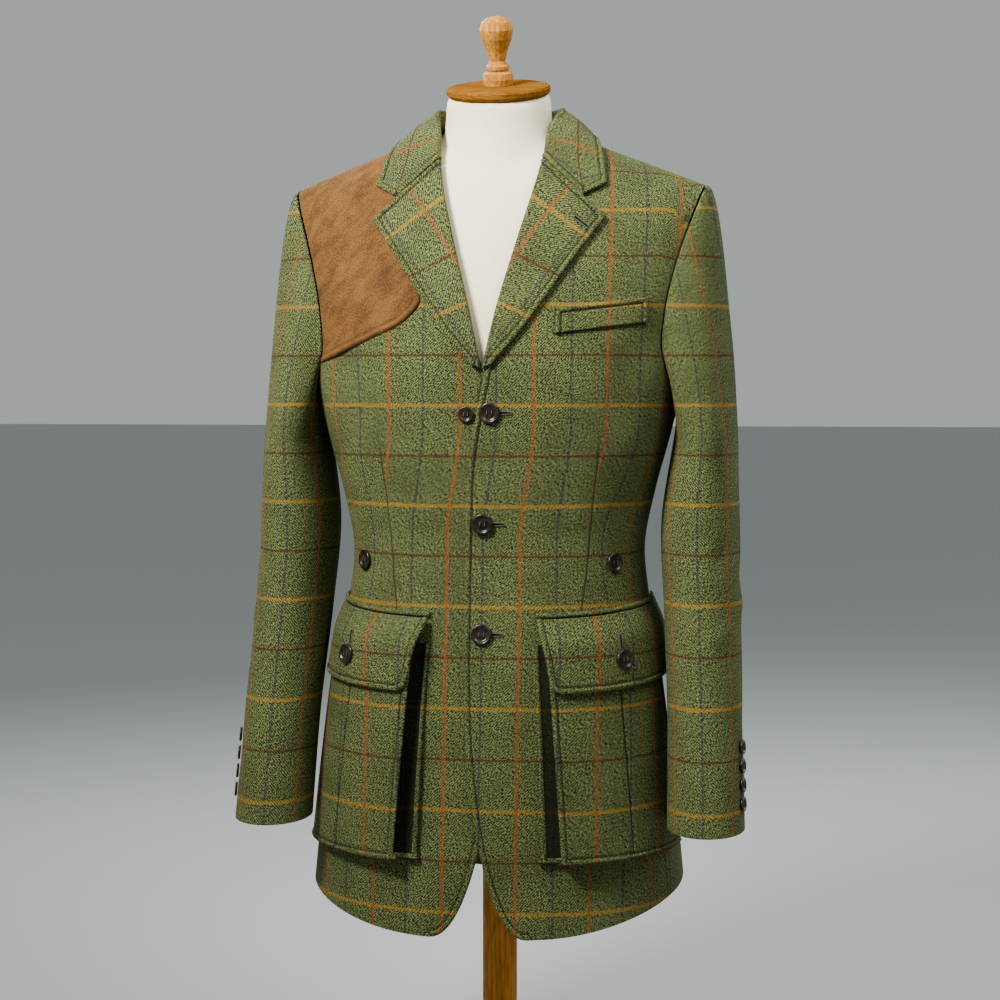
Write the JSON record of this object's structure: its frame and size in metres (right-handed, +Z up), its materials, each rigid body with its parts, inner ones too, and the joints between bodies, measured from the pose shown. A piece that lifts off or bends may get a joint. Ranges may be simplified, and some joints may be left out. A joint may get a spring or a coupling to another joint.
{
  "type": "blazer on dress form",
  "caption": "Green windowpane tweed blazer with notch lapels, bellows pockets and a suede shoulder patch, buttoned on a limbless dress form with a turned finial, pole and round base.",
  "frame": {"origin": "centre of the base's underside, on the pole's axis", "axes": "+Z up, the jacket faces -Y, the wearer's left is +X"},
  "size_m": [0.5132, 0.4, 1.1249],
  "materials": {
    "tweed": "woollen tweed",
    "suede": "brushed suede",
    "horn": "dark horn",
    "linen": "cream cotton cover",
    "wood": "varnished"
  },
  "bodies": {
    "root": {"back_left": "tweed", "back_right": "tweed", "base": "wood", "breast_welt": "tweed", "collar": "tweed", "cuff_button_left_1": "horn", "cuff_button_left_2": "horn", "cuff_button_left_3": "horn", "cuff_button_left_4": "horn", "cuff_button_right_1": "horn", "cuff_button_right_2": "horn", "cuff_button_right_3": "horn", "cuff_button_right_4": "horn", "finial": "wood", "flap_button_left": "horn", "flap_button_right": "horn", "flap_left": "tweed", "flap_right": "tweed", "form_torso": "linen", "front_button_1": "horn", "front_button_2": "horn", "front_button_3": "horn", "front_left": "tweed", "front_right": "tweed", "inner_button": "horn", "lapel_left": "tweed", "lapel_right": "tweed", "neck_cap": "wood", "piping_left": "tweed", "piping_right": "tweed", "pocket_left": "tweed", "pocket_right": "tweed", "pole": "wood", "shoulder_patch": "suede", "side_left": "tweed", "side_right": "tweed", "top_sleeve_left": "tweed", "top_sleeve_right": "tweed", "under_sleeve_left": "tweed", "under_sleeve_right": "tweed", "waist_button_back_left": "horn", "waist_button_back_right": "horn", "waist_button_front_left": "horn", "waist_button_front_right": "horn"}
  },
  "joints": []
}
